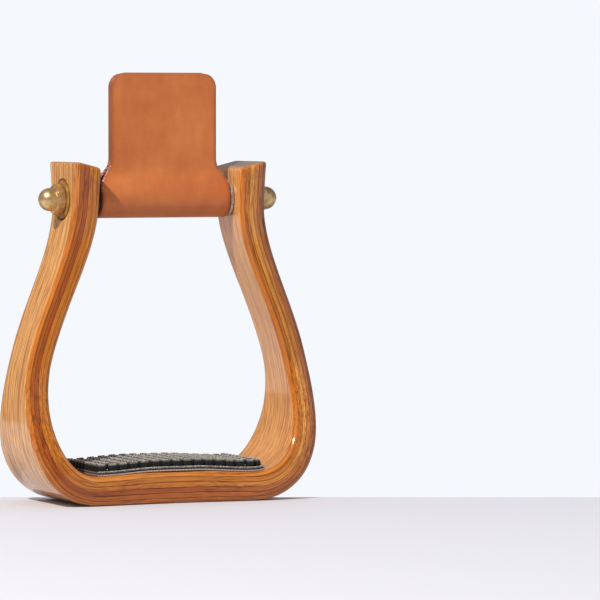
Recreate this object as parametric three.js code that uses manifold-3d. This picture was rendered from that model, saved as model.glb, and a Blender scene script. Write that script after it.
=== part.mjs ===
// Bent-wood riding stirrup: a laminated bell-shaped bow, a bolt with cap nuts across its two
// post heads, a leather wrap that turns on a spacer tube, and a studded pad on the tread.
// Millimetres. +X runs along the tread, +Z is up, and the origin is on the floor under its middle.

import * as THREE from 'three';
import { mergeVertices } from 'three/addons/utils/BufferGeometryUtils.js';
import Module from 'manifold-3d';

const wasm = await Module();
wasm.setup();

// ---------------------------------------------------------------- driving dimensions

const CLEARANCE = 0.3; // between parts that touch or turn on each other

// The centreline of one half of the bow, from the middle of the tread to the top of the post.
const TREAD_FLAT = 44; // half length that lies on the floor
const TREAD_CROWN = 1.6; // how much thicker the tread is in the middle
const CROWN_FLAT = 10; // half length of the crown's level top
const BELLY = { x: 75.6, z: 50 }; // widest point
const NECK = { x: 47.1, z: 158 }; // the post is upright from here
const POST_TOP = 178;
const TREAD_PULL = 20; // Bezier handles: how long each end keeps its direction
const CORNER_PULL = 25;
const BELLY_PULL = 42;
const NECK_PULL = 32;
const POST_SLOPE = Math.tan(THREE.MathUtils.degToRad(14)); // the post tops fall inwards

// The bow's section: thickness across the plies and half of its depth along Y.
const TREAD_THICKNESS = 15.3; // where the tread meets the corners
const LEG_THICKNESS = 13;
const HEAD_THICKNESS = 14.4;
const TREAD_HALF_DEPTH = 26;
const CORNER_HALF_DEPTH = 29.5;
const LEG_HALF_DEPTH = 15.8;
const HEAD_FLARE = 4.6; // how much deeper each side of a post is at its top
const FLARE_START = 125;
const EDGE_RADIUS = 3;
const PLY_COUNT = 6;
const GLUE_LINE = 0.2;

// Bolt and its hardware, 3/8 inch.
const BOLT_Z = 159.6;
const BOLT_RADIUS = 4.76;
const BOLT_HALF_LENGTH = 61;
const HOLE_RADIUS = BOLT_RADIUS + CLEARANCE;
const WASHER_THICKNESS = 1.6;
const INNER_WASHER_RADIUS = 9.6;
const OUTER_WASHER_RADIUS = 10;
const SPOT_FACE_RADIUS = 11.2;
const SPOT_FACE_DEPTH = 1.2;
const NUT_ACROSS_FLATS = 14.3;
const NUT_HEX_HEIGHT = 4.6;
const NUT_DOME_RADIUS = 6.1;
const NUT_DOME_NECK = 1.6; // straight part under the dome
const NUT_BORE_DEPTH = 9.5;

// Spacer tube and the strap folded round it.
const SLEEVE_RADIUS = 7.5;
const LEATHER_THICKNESS = 2.2;
const WRAP_WIDTH = 73.4;
const WRAP_OFFSET = 1; // the wrap has side play and sits towards +X
const FLAP_WIDTH = 60.2;
const FLAP_TOP = 66.6; // above the bolt axis
const FLAP_CORNER_RADIUS = 8;
const SHOULDER_LOW = 4; // the strap narrows between these heights above the bolt axis
const SHOULDER_HIGH = 22;
const MEETING_HEIGHT = 21; // where the two flaps come together
const FLAP_FORWARD = 3.2; // the flaps stand this far in front of the bolt axis

// Tread pad.
const PAD_HALF_LENGTH = 47.2;
const PAD_OFFSET = 2.4; // the pad is nailed on a little towards +X
const PAD_HALF_DEPTH = 25.3;
const PAD_GAP = 0.15; // under the backing and under the cover
const BACKING_THICKNESS = 0.8;
const COVER_THICKNESS = 5.2;
const STUD_HEIGHT = 3.7; // the nail heads sit this far under the top of the cover
const NAIL_X = 39;
const NAIL_Y = 20.5;
const NAIL_LENGTH = 10.5;
const NAIL_SHANK_RADIUS = 0.7;
const NAIL_HEAD_RADIUS = 1.7;
const NAIL_HEAD_HEIGHT = 0.7;
const NAIL_WELL_RADIUS = 2.3;

// ---------------------------------------------------------------- materials

function finish(color, roughness, metalness) {
  return { color, roughness, metalness };
}

const HONEY_WOOD = finish(0xd08c4a, 0.3, 0);
const RED_WOOD = finish(0x9a5a2c, 0.3, 0);
const GOLDEN_WOOD = finish(0xc07f38, 0.3, 0);
const PLY_FINISHES = [HONEY_WOOD, GOLDEN_WOOD, RED_WOOD, GOLDEN_WOOD, HONEY_WOOD, HONEY_WOOD];
const BRASS = finish(0xb08d4f, 0.28, 1);
const STEEL = finish(0xb9bcc0, 0.3, 1);
const LEATHER = finish(0xc47a4a, 0.6, 0);
const RUBBER = finish(0x2a2c2b, 0.8, 0);
const CANVAS = finish(0xa59c88, 0.9, 0);

// ---------------------------------------------------------------- solids and cuts

/** A closed geometry as a manifold-3d solid. */
function toSolid(geometry) {
  const bare = geometry.clone();
  bare.deleteAttribute('normal');
  bare.deleteAttribute('uv');
  const merged = mergeVertices(bare, 1e-4);
  return new wasm.Manifold(new wasm.Mesh({
    numProp: 3,
    vertProperties: new Float32Array(merged.attributes.position.array),
    triVerts: new Uint32Array(merged.index.array),
  }));
}

/** A manifold-3d solid back as a geometry. */
function toGeometry(solid) {
  const mesh = solid.getMesh();
  const geometry = new THREE.BufferGeometry();
  geometry.setAttribute('position', new THREE.BufferAttribute(mesh.vertProperties, 3));
  geometry.setIndex(new THREE.BufferAttribute(mesh.triVerts, 1));
  geometry.computeVertexNormals();
  return geometry;
}

/** The geometry with every tool taken out of it. */
function cut(geometry, tools) {
  return toGeometry(tools.reduce((solid, tool) => solid.subtract(toSolid(tool)), toSolid(geometry)));
}

/** A closed body through equal rings of points, which run anticlockwise seen from the sweep's end. */
function loft(rings) {
  const size = rings[0].length;
  const positions = rings.flat().flatMap((point) => [point.x, point.y, point.z]);
  const index = [];
  for (let ring = 0; ring < rings.length - 1; ring += 1) {
    for (let corner = 0; corner < size; corner += 1) {
      const next = (corner + 1) % size;
      const [a, b] = [ring * size + corner, ring * size + next];
      index.push(a, b + size, b, a, a + size, b + size);
    }
  }
  const last = (rings.length - 1) * size;
  for (let corner = 1; corner < size - 1; corner += 1) {
    index.push(0, corner, corner + 1);
    index.push(last, last + corner + 1, last + corner);
  }
  const geometry = new THREE.BufferGeometry();
  geometry.setAttribute('position', new THREE.Float32BufferAttribute(positions, 3));
  geometry.setIndex(index);
  geometry.computeVertexNormals();
  return geometry;
}

/** A body turned round the X axis, from [x, radius] points; it starts and ends on the axis or closes. */
function turnedAlongX(profile, sides = 32) {
  const points = profile.map(([x, radius]) => new THREE.Vector2(radius, x));
  const geometry = new THREE.LatheGeometry(points, sides);
  geometry.rotateZ(-Math.PI / 2);
  return geometry;
}

/** A rod along X, round the bolt axis, for cutting. */
function boltAxisRod(radius, from, to) {
  const rod = turnedAlongX([[from, 0], [from, radius], [to, radius], [to, 0]]);
  rod.translate(0, 0, BOLT_Z);
  return rod;
}

/** A rod along Z, for cutting. */
function uprightRod(x, y, radius, from, to) {
  const rod = new THREE.CylinderGeometry(radius, radius, to - from, 12);
  rod.rotateX(Math.PI / 2);
  rod.translate(x, y, (from + to) / 2);
  return rod;
}

// ---------------------------------------------------------------- the bow's shape

const { smoothstep, lerp } = THREE.MathUtils;

/** Whether a point of the centreline is above the part of the tread that lies on the floor. */
function isOnTread({ x, z }) {
  return Math.abs(x) <= TREAD_FLAT && z < BELLY.z;
}

/** Thickness across the plies of a bow section. The crowned tread is flat underneath. */
function bowThickness({ x, z }) {
  if (isOnTread({ x, z })) {
    return 2 * z;
  }
  const lower = lerp(TREAD_THICKNESS, LEG_THICKNESS, smoothstep(z, 12, 52));
  return lerp(lower, HEAD_THICKNESS, smoothstep(z, 105, 150));
}

/** Half of the bow's depth along Y: widest at the lower corners, and flared at the post tops. */
function bowHalfDepth({ x, z }) {
  const lower = lerp(TREAD_HALF_DEPTH, CORNER_HALF_DEPTH, smoothstep(Math.abs(x), 0, 60));
  const flare = HEAD_FLARE * (Math.max(0, z - FLARE_START) / (POST_TOP - FLARE_START)) ** 2;
  return lerp(lower, LEG_HALF_DEPTH, smoothstep(z, 13, 77)) + flare;
}

/** The right half of the centreline as curves, each with the number of steps it is cut into. */
function halfCentreline() {
  const endZ = TREAD_THICKNESS / 2;
  const middleZ = endZ + TREAD_CROWN / 2;
  const at = (x, z) => new THREE.Vector3(x, 0, z);
  return [
    [new THREE.LineCurve3(at(0, middleZ), at(CROWN_FLAT, middleZ)), 1],
    [new THREE.CubicBezierCurve3(at(CROWN_FLAT, middleZ), at(TREAD_FLAT / 2, middleZ),
      at(TREAD_FLAT * 0.7, endZ), at(TREAD_FLAT, endZ)), 4],
    [new THREE.CubicBezierCurve3(at(TREAD_FLAT, endZ), at(TREAD_FLAT + TREAD_PULL, endZ),
      at(BELLY.x, BELLY.z - CORNER_PULL), at(BELLY.x, BELLY.z)), 12],
    [new THREE.CubicBezierCurve3(at(BELLY.x, BELLY.z), at(BELLY.x, BELLY.z + BELLY_PULL),
      at(NECK.x, NECK.z - NECK_PULL), at(NECK.x, NECK.z)), 15],
    [new THREE.LineCurve3(at(NECK.x, NECK.z), at(NECK.x, POST_TOP)), 4],
  ];
}

/** Stations from the left post top, under the tread, to the right post top. */
function bowStations() {
  const half = [];
  for (const [curve, steps] of halfCentreline()) {
    for (let step = half.length === 0 ? 0 : 1; step <= steps; step += 1) {
      const centre = curve.getPointAt(step / steps);
      const along = curve.getTangentAt(step / steps);
      const onTread = isOnTread(centre);
      const outward = onTread ? new THREE.Vector3(0, 0, -1) : new THREE.Vector3(along.z, 0, -along.x);
      half.push({ centre, outward });
    }
  }
  const mirrored = half.slice(1).reverse().map(({ centre, outward }) => ({
    centre: new THREE.Vector3(-centre.x, 0, centre.z),
    outward: new THREE.Vector3(-outward.x, 0, outward.z),
  }));
  return [...mirrored, ...half].map((station) => ({
    ...station,
    thickness: bowThickness(station.centre),
    halfDepth: bowHalfDepth(station.centre),
  }));
}

const STATIONS = bowStations();

/** A point of a bow section, `offset` outwards from the centreline and at depth y. */
function bowPoint(station, offset, y) {
  const point = station.centre.clone().addScaledVector(station.outward, offset);
  point.y = y;
  if (station.centre.z === POST_TOP) {
    point.z += offset * POST_SLOPE;
  }
  return point;
}

/** Half depth of the round-edged bow section at an offset from its centreline. */
function roundedHalfDepth(station, offset) {
  const intoEdge = Math.abs(offset) - (station.thickness / 2 - EDGE_RADIUS);
  if (intoEdge <= 0) {
    return station.halfDepth;
  }
  return station.halfDepth - EDGE_RADIUS + Math.sqrt(Math.max(0, EDGE_RADIUS ** 2 - intoEdge ** 2));
}

/** Where a ply is sampled across its thickness, from 0 inside to 1 outside. */
function plySamples(ply) {
  if (ply === 0) {
    return [0, 0.45, 0.8, 1];
  }
  if (ply === PLY_COUNT - 1) {
    return [0, 0.2, 0.55, 1];
  }
  return [0, 1];
}

/** One veneer of the bow. Ply 0 is the outermost, under the tread and outside the legs. */
function plyGeometry(ply) {
  const rings = STATIONS.map((station) => {
    const pitch = station.thickness / PLY_COUNT;
    const outerFace = station.thickness / 2 - ply * pitch;
    const innerFace = outerFace - pitch;
    const outer = ply === 0 ? outerFace : outerFace - GLUE_LINE / 2;
    const inner = ply === PLY_COUNT - 1 ? innerFace : innerFace + GLUE_LINE / 2;
    const offsets = plySamples(ply).map((share) => lerp(inner, outer, share));
    const back = offsets.map((offset) => bowPoint(station, offset, roundedHalfDepth(station, offset)));
    const front = offsets.map((offset) => bowPoint(station, offset, -roundedHalfDepth(station, offset)));
    return [...back, ...front.reverse()];
  });
  return loft(rings);
}

// ---------------------------------------------------------------- bolt hardware

const OUTER_FACE = NECK.x + HEAD_THICKNESS / 2; // the posts' outer and inner faces at the bolt
const INNER_FACE = NECK.x - HEAD_THICKNESS / 2;
const SPOT_FACE = OUTER_FACE - SPOT_FACE_DEPTH;
const INNER_WASHER_START = INNER_FACE - CLEARANCE - WASHER_THICKNESS;
const OUTER_WASHER_START = SPOT_FACE + CLEARANCE;
const NUT_START = OUTER_WASHER_START + WASHER_THICKNESS + CLEARANCE;
const SLEEVE_HALF_LENGTH = INNER_WASHER_START - CLEARANCE;

/** A flat ring on the bolt, from x = 0 to its thickness. */
function ringGeometry(innerRadius, outerRadius, thickness) {
  return turnedAlongX([
    [0, innerRadius], [0, outerRadius], [thickness, outerRadius], [thickness, innerRadius],
    [0, innerRadius],
  ]);
}

/** A blind cap nut, from x = 0 at its seat to the tip of its dome. */
function capNutGeometry() {
  const hexRadius = NUT_ACROSS_FLATS / Math.sqrt(3);
  const hex = new THREE.CylinderGeometry(hexRadius, hexRadius, NUT_HEX_HEIGHT, 6);
  hex.rotateZ(Math.PI / 2);
  hex.translate(NUT_HEX_HEIGHT / 2, 0, 0);

  const domeStart = NUT_HEX_HEIGHT + NUT_DOME_NECK;
  const dome = [[NUT_HEX_HEIGHT / 2, 0], [NUT_HEX_HEIGHT / 2, NUT_DOME_RADIUS]];
  const domeSteps = 8;
  for (let step = 0; step < domeSteps; step += 1) {
    const angle = (step / domeSteps) * (Math.PI / 2);
    dome.push([domeStart + NUT_DOME_RADIUS * Math.sin(angle), NUT_DOME_RADIUS * Math.cos(angle)]);
  }
  dome.push([domeStart + NUT_DOME_RADIUS, 0]);

  const bore = turnedAlongX([[-1, 0], [-1, HOLE_RADIUS], [NUT_BORE_DEPTH, HOLE_RADIUS],
    [NUT_BORE_DEPTH, 0]]);
  const body = toSolid(hex).add(toSolid(turnedAlongX(dome, 24)));
  return toGeometry(body.subtract(toSolid(bore)));
}

function boltGeometry() {
  const chamfer = 1;
  return turnedAlongX([
    [-BOLT_HALF_LENGTH, 0], [-BOLT_HALF_LENGTH, BOLT_RADIUS - chamfer],
    [-BOLT_HALF_LENGTH + chamfer, BOLT_RADIUS], [BOLT_HALF_LENGTH - chamfer, BOLT_RADIUS],
    [BOLT_HALF_LENGTH, BOLT_RADIUS - chamfer], [BOLT_HALF_LENGTH, 0],
  ]);
}

// ---------------------------------------------------------------- leather wrap

/**
 * The folded strap seen along X, round the bolt axis: round the tube below, and two flaps that
 * meet above it. `skin` is the distance from the tube to the face drawn, and `half` that face's
 * distance from the middle plane where the flaps stand side by side.
 */
function strapFace(skin, half) {
  const radius = SLEEVE_RADIUS + CLEARANCE + skin;
  const leave = THREE.MathUtils.degToRad(20); // angle above level where the strap leaves the tube
  const away = new THREE.Vector2(Math.cos(leave), Math.sin(leave)).multiplyScalar(radius);
  const tangent = new THREE.Vector2(-Math.sin(leave), Math.cos(leave));
  const pull = (MEETING_HEIGHT - away.y) / 2;
  const rise = new THREE.CubicBezierCurve(
    away,
    away.clone().addScaledVector(tangent, pull),
    new THREE.Vector2(half, MEETING_HEIGHT - pull),
    new THREE.Vector2(half, MEETING_HEIGHT),
  );
  const arc = new THREE.EllipseCurve(0, 0, radius, radius, -Math.PI / 2, leave);
  const rightSide = [
    ...arc.getPoints(10),
    ...rise.getPoints(6).slice(1),
    new THREE.Vector2(half, FLAP_TOP),
  ];
  const leftSide = rightSide.slice(1).reverse().map((point) => new THREE.Vector2(-point.x, point.y));
  return [...leftSide, ...rightSide].map((point) => {
    const lean = smoothstep(point.y, 0, MEETING_HEIGHT);
    return new THREE.Vector2(point.x - FLAP_FORWARD * lean, point.y);
  });
}

/** The strap's outline seen along Y: a wide roll, S-shaped shoulders and a narrower flap. */
function flapOutline() {
  const roll = WRAP_WIDTH / 2;
  const flap = FLAP_WIDTH / 2;
  const below = -(SLEEVE_RADIUS + LEATHER_THICKNESS + 2);
  const middle = (SHOULDER_LOW + SHOULDER_HIGH) / 2;
  const shape = new THREE.Shape();
  shape.moveTo(-roll, below);
  shape.lineTo(roll, below);
  shape.lineTo(roll, SHOULDER_LOW);
  shape.bezierCurveTo(roll, middle, flap, middle, flap, SHOULDER_HIGH);
  shape.lineTo(flap, FLAP_TOP - FLAP_CORNER_RADIUS);
  shape.absarc(flap - FLAP_CORNER_RADIUS, FLAP_TOP - FLAP_CORNER_RADIUS, FLAP_CORNER_RADIUS,
    0, Math.PI / 2, false);
  shape.absarc(-flap + FLAP_CORNER_RADIUS, FLAP_TOP - FLAP_CORNER_RADIUS, FLAP_CORNER_RADIUS,
    Math.PI / 2, Math.PI, false);
  shape.lineTo(-flap, SHOULDER_HIGH);
  shape.bezierCurveTo(-flap, middle, -roll, middle, -roll, SHOULDER_LOW);
  return shape;
}

function wrapGeometry() {
  const outer = strapFace(LEATHER_THICKNESS, LEATHER_THICKNESS + CLEARANCE / 2);
  const inner = strapFace(0, CLEARANCE / 2);
  const section = new THREE.Shape([...outer, ...inner.reverse()]);
  const strap = new THREE.ExtrudeGeometry(section, { depth: WRAP_WIDTH, bevelEnabled: false });
  strap.translate(0, 0, -WRAP_WIDTH / 2);
  strap.rotateX(Math.PI / 2);
  strap.rotateZ(Math.PI / 2);

  const across = 4 * SLEEVE_RADIUS;
  const outline = new THREE.ExtrudeGeometry(flapOutline(),
    { depth: across, bevelEnabled: false, curveSegments: 6 });
  outline.translate(0, 0, -across / 2);
  outline.rotateX(Math.PI / 2);
  return toGeometry(toSolid(strap).intersect(toSolid(outline)));
}

// ---------------------------------------------------------------- tread pad

const NAIL_WOOD_TOP = TREAD_THICKNESS; // the tread's top at the nails
const COVER_START = PAD_GAP + BACKING_THICKNESS + PAD_GAP; // above the wood

/** A layer that lies along the inside of the bow, between two heights above the wood. */
function padLayer(from, to) {
  const rings = STATIONS.filter((station) => station.centre.z < BELLY.z)
    .map((station) => {
      const inner = -station.thickness / 2;
      return [
        bowPoint(station, inner - to, PAD_HALF_DEPTH),
        bowPoint(station, inner - from, PAD_HALF_DEPTH),
        bowPoint(station, inner - from, -PAD_HALF_DEPTH),
        bowPoint(station, inner - to, -PAD_HALF_DEPTH),
      ];
    });
  const length = new THREE.BoxGeometry(2 * PAD_HALF_LENGTH, 3 * PAD_HALF_DEPTH, 4 * TREAD_THICKNESS);
  length.translate(PAD_OFFSET, 0, TREAD_THICKNESS);
  return toGeometry(toSolid(loft(rings)).intersect(toSolid(length)));
}

/** The four nail positions, front left, front right, back left and back right. */
const NAIL_PLACES = [[-NAIL_X, -NAIL_Y], [NAIL_X, -NAIL_Y], [-NAIL_X, NAIL_Y], [NAIL_X, NAIL_Y]]
  .map(([x, y]) => [x + PAD_OFFSET, y]);

const WELL_FLOOR = NAIL_WOOD_TOP + COVER_START + COVER_THICKNESS - STUD_HEIGHT;
const NAIL_SEAT = WELL_FLOOR + CLEARANCE / 2;
const NAIL_TIP = NAIL_SEAT - NAIL_LENGTH;

/** A rod for each nail's hole, from its tip up to a height. */
function nailHoles(top) {
  const radius = NAIL_SHANK_RADIUS + CLEARANCE;
  return NAIL_PLACES.map(([x, y]) => uprightRod(x, y, radius, NAIL_TIP - CLEARANCE, top));
}

function coverGeometry() {
  const above = WELL_FLOOR + 2 * STUD_HEIGHT;
  const wells = NAIL_PLACES.map(([x, y]) => uprightRod(x, y, NAIL_WELL_RADIUS, WELL_FLOOR, above));
  return cut(padLayer(COVER_START, COVER_START + COVER_THICKNESS), [...nailHoles(above), ...wells]);
}

function backingGeometry() {
  return cut(padLayer(PAD_GAP, PAD_GAP + BACKING_THICKNESS), nailHoles(WELL_FLOOR));
}

/** A flat-headed nail that stands on its tip at z = 0. */
function nailGeometry() {
  const point = 1.6;
  const headTop = NAIL_LENGTH + NAIL_HEAD_HEIGHT;
  const profile = [
    [0, 0], [NAIL_SHANK_RADIUS, point], [NAIL_SHANK_RADIUS, NAIL_LENGTH],
    [NAIL_HEAD_RADIUS, NAIL_LENGTH], [NAIL_HEAD_RADIUS * 0.75, headTop], [0, headTop],
  ].map(([radius, z]) => new THREE.Vector2(radius, z));
  const nail = new THREE.LatheGeometry(profile, 12);
  nail.rotateX(Math.PI / 2);
  return nail;
}

// ---------------------------------------------------------------- assembly

const stirrup = new THREE.Group();

function addPart(name, geometry, look, parent = stirrup) {
  const mesh = new THREE.Mesh(geometry, new THREE.MeshStandardMaterial(look));
  mesh.name = name;
  parent.add(mesh);
  return mesh;
}

function addBow() {
  const boltHole = boltAxisRod(HOLE_RADIUS, -2 * NECK.x, 2 * NECK.x);
  const spotFaces = [
    boltAxisRod(SPOT_FACE_RADIUS, SPOT_FACE, 2 * NECK.x),
    boltAxisRod(SPOT_FACE_RADIUS, -2 * NECK.x, -SPOT_FACE),
  ];
  const pitch = TREAD_THICKNESS / PLY_COUNT;
  for (let ply = 0; ply < PLY_COUNT; ply += 1) {
    const tools = [boltHole];
    if (ply === 0) {
      tools.push(...spotFaces);
    }
    const topOnTread = (ply + 1) * pitch;
    if (topOnTread > NAIL_TIP) {
      tools.push(...nailHoles(2 * NAIL_WOOD_TOP));
    }
    addPart(`bow_ply_${ply + 1}`, cut(plyGeometry(ply), tools), PLY_FINISHES[ply]);
  }
}

/** The washers and the cap nut of one end of the bolt; side is 1 at +X and -1 at -X. */
function addBoltEnd(side, suffix) {
  const end = new THREE.Group();
  end.position.z = BOLT_Z;
  end.rotation.z = side > 0 ? 0 : Math.PI;
  stirrup.add(end);
  const innerWasher = ringGeometry(HOLE_RADIUS, INNER_WASHER_RADIUS, WASHER_THICKNESS);
  const outerWasher = ringGeometry(HOLE_RADIUS, OUTER_WASHER_RADIUS, WASHER_THICKNESS);
  addPart(`inner_washer_${suffix}`, innerWasher, STEEL, end).position.x = INNER_WASHER_START;
  addPart(`outer_washer_${suffix}`, outerWasher, BRASS, end).position.x = OUTER_WASHER_START;
  addPart(`cap_nut_${suffix}`, capNutGeometry(), BRASS, end).position.x = NUT_START;
}

function addRoller() {
  addPart('through_bolt', boltGeometry(), STEEL).position.z = BOLT_Z;
  const sleeve = ringGeometry(HOLE_RADIUS, SLEEVE_RADIUS, 2 * SLEEVE_HALF_LENGTH);
  addPart('roller_sleeve', sleeve, STEEL).position.set(-SLEEVE_HALF_LENGTH, 0, BOLT_Z);
  addPart('leather_wrap', wrapGeometry(), LEATHER).position.set(WRAP_OFFSET, 0, BOLT_Z);
}

function addTreadPad() {
  addPart('tread_backing', backingGeometry(), CANVAS);
  addPart('tread_cover', coverGeometry(), RUBBER);
  NAIL_PLACES.forEach(([x, y], index) => {
    addPart(`tread_nail_${index + 1}`, nailGeometry(), STEEL).position.set(x, y, NAIL_TIP);
  });
}

addBow();
addBoltEnd(-1, 'left');
addBoltEnd(1, 'right');
addRoller();
addTreadPad();

export default stirrup;
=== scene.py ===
"""Looks of the bent-wood stirrup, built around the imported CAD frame. Metres, +Z up."""

import math

import bmesh
import bpy
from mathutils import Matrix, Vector


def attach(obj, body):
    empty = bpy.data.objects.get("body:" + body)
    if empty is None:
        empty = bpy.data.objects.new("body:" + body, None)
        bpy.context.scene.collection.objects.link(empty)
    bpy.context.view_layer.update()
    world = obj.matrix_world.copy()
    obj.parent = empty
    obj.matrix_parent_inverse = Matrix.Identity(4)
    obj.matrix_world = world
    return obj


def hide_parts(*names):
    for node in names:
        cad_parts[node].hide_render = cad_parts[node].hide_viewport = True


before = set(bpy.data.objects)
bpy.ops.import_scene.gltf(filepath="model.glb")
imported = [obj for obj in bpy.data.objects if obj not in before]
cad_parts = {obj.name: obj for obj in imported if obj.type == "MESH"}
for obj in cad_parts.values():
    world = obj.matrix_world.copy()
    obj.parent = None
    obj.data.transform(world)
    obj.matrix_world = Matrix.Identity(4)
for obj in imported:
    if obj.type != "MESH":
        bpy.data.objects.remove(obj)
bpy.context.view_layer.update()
MM = 0.001

# ---------------------------------------------------------------- dimensions, as in the CAD model

TREAD_FLAT = 44 * MM
TREAD_CROWN = 1.6 * MM
CROWN_FLAT = 10 * MM
BELLY = (75.6 * MM, 50 * MM)
NECK = (47.1 * MM, 158 * MM)
POST_TOP = 178 * MM
TREAD_PULL = 20 * MM
CORNER_PULL = 25 * MM
BELLY_PULL = 42 * MM
NECK_PULL = 32 * MM
POST_SLOPE = math.tan(math.radians(14))
TREAD_THICKNESS = 15.3 * MM
LEG_THICKNESS = 13 * MM
HEAD_THICKNESS = 14.4 * MM
TREAD_HALF_DEPTH = 26 * MM
CORNER_HALF_DEPTH = 29.5 * MM
LEG_HALF_DEPTH = 15.8 * MM
HEAD_FLARE = 4.6 * MM
FLARE_START = 125 * MM
EDGE_RADIUS = 3 * MM
PLY_COUNT = 6
GLUE_LINE = 0.2 * MM
# From where to where, along X or up Z, the section changes from one size to the next.
LEG_THINS = (12 * MM, 52 * MM)
HEAD_THICKENS = (105 * MM, 150 * MM)
CORNER_DEEPENS = (0, 60 * MM)
LEG_NARROWS = (13 * MM, 77 * MM)

CLEARANCE = 0.3 * MM
BOLT_Z = 159.6 * MM
HOLE_RADIUS = 5.06 * MM
SPOT_FACE_RADIUS = 11.2 * MM
SPOT_FACE = 53.1 * MM
INNER_WASHER = (38.0 * MM, 39.6 * MM, 9.6 * MM)  # from, to, radius
OUTER_WASHER = (53.4 * MM, 55.0 * MM, 10 * MM)
NUT_START = 55.3 * MM
NUT_ACROSS_FLATS = 14.3 * MM
NUT_HEX_HEIGHT = 4.6 * MM
NUT_DOME_RADIUS = 6.1 * MM
NUT_DOME_NECK = 1.6 * MM
NUT_BORE_DEPTH = 9 * MM
SLEEVE_RADIUS = 7.5 * MM
LEATHER_THICKNESS = 2.2 * MM
WRAP_WIDTH = 73.4 * MM
WRAP_OFFSET = 1 * MM
FLAP_WIDTH = 60.2 * MM
FLAP_TOP = 66.6 * MM
FLAP_CORNER_RADIUS = 8 * MM
SHOULDER_LOW = 4 * MM
SHOULDER_HIGH = 22 * MM
MEETING_HEIGHT = 21 * MM
FLAP_FORWARD = 3.2 * MM

PAD_HALF_LENGTH = 47.2 * MM
PAD_OFFSET = 2.4 * MM
PAD_HALF_DEPTH = 25.3 * MM
BACKING_FROM = 0.15 * MM
BACKING_TO = 0.95 * MM
COVER_FROM = 1.1 * MM
COVER_BASE_TO = 2.6 * MM
STUD_TOP = 6.3 * MM
STUD_COLUMNS = 16
STUD_ROWS = 11
RIDGE_COUNT = 3
RIDGE_HEIGHT = 0.6 * MM
NAIL_X = 39 * MM
NAIL_Y = 20.5 * MM
NAIL_COUNT = 4

# ---------------------------------------------------------------- fineness of the meshes

SHARP_ANGLE = 40  # degrees; steeper edges stay sharp
ROUND_SIDES = 96
CURVE_STEPS = 200
STATION_STEP = 1.6 * MM
STRAP_STEP = 0.9 * MM
HALVINGS = 30  # steps of a search by bisection


# ---------------------------------------------------------------- small maths

def lerp(a, b, t):
    return a + (b - a) * t


def smoothstep(x, low, high):
    t = min(1.0, max(0.0, (x - low) / (high - low)))
    return t * t * (3 - 2 * t)


def bezier(p0, p1, p2, p3, t):
    """A point of a cubic Bezier in a plane."""
    u = 1 - t
    weights = (u * u * u, 3 * u * u * t, 3 * u * t * t, t * t * t)
    return tuple(sum(w * p[k] for w, p in zip(weights, (p0, p1, p2, p3))) for k in (0, 1))


def evenly(points, step):
    """A polyline resampled at about equal steps, its ends kept."""
    lengths = [0.0]
    for a, b in zip(points, points[1:]):
        lengths.append(lengths[-1] + math.dist(a, b))
    count = max(1, round(lengths[-1] / step))
    result = []
    segment = 0
    for index in range(count + 1):
        target = lengths[-1] * index / count
        while segment < len(points) - 2 and lengths[segment + 1] < target:
            segment += 1
        span = lengths[segment + 1] - lengths[segment]
        share = (target - lengths[segment]) / span if span else 0.0
        a, b = points[segment], points[segment + 1]
        result.append(tuple(lerp(a[k], b[k], share) for k in range(len(a))))
    return result


# ---------------------------------------------------------------- mesh helpers

def new_piece(name, bm, body, sharp_angle=SHARP_ANGLE):
    """Turns a bmesh into a shaded piece that rides on a body."""
    bmesh.ops.recalc_face_normals(bm, faces=bm.faces)
    mesh = bpy.data.meshes.new(name)
    bm.to_mesh(mesh)
    bm.free()
    mesh.shade_smooth()
    mesh.set_sharp_from_angle(angle=math.radians(sharp_angle))
    piece = bpy.data.objects.new(name, mesh)
    bpy.context.scene.collection.objects.link(piece)
    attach(piece, body)
    return piece


def loft(bm, rings, closed=False):
    """Quads between equal rings of points; the two ends are left open unless it closes on itself."""
    rows = [[bm.verts.new(point) for point in ring] for ring in rings]
    size = len(rows[0])
    pairs = list(zip(rows, rows[1:]))
    if closed:
        pairs.append((rows[-1], rows[0]))
    for low, high in pairs:
        for k in range(size):
            following = (k + 1) % size
            bm.faces.new((low[k], low[following], high[following], high[k]))
    return rows


def fan(bm, ring, centre):
    """Closes a ring with triangles to one point, and returns that point's vertex."""
    middle = bm.verts.new(centre)
    for k, vert in enumerate(ring):
        bm.faces.new((vert, ring[(k + 1) % len(ring)], middle))
    return middle


def strip_cap(bm, ring, half):
    """Closes a ring whose points k and -1-k face each other, with a strip of quads."""
    for k in range(half - 1):
        bm.faces.new((ring[k], ring[k + 1], ring[-2 - k], ring[-1 - k]))


# ---------------------------------------------------------------- the bow's shape

def on_tread(x, z):
    return abs(x) <= TREAD_FLAT + 1e-6 and z < BELLY[1] / 2


def bow_thickness(x, z):
    if on_tread(x, z):
        return 2 * z
    lower = lerp(TREAD_THICKNESS, LEG_THICKNESS, smoothstep(z, *LEG_THINS))
    return lerp(lower, HEAD_THICKNESS, smoothstep(z, *HEAD_THICKENS))


def bow_half_depth(x, z):
    lower = lerp(TREAD_HALF_DEPTH, CORNER_HALF_DEPTH, smoothstep(abs(x), *CORNER_DEEPENS))
    flare = HEAD_FLARE * (max(0.0, z - FLARE_START) / (POST_TOP - FLARE_START)) ** 2
    return lerp(lower, LEG_HALF_DEPTH, smoothstep(z, *LEG_NARROWS)) + flare


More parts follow.
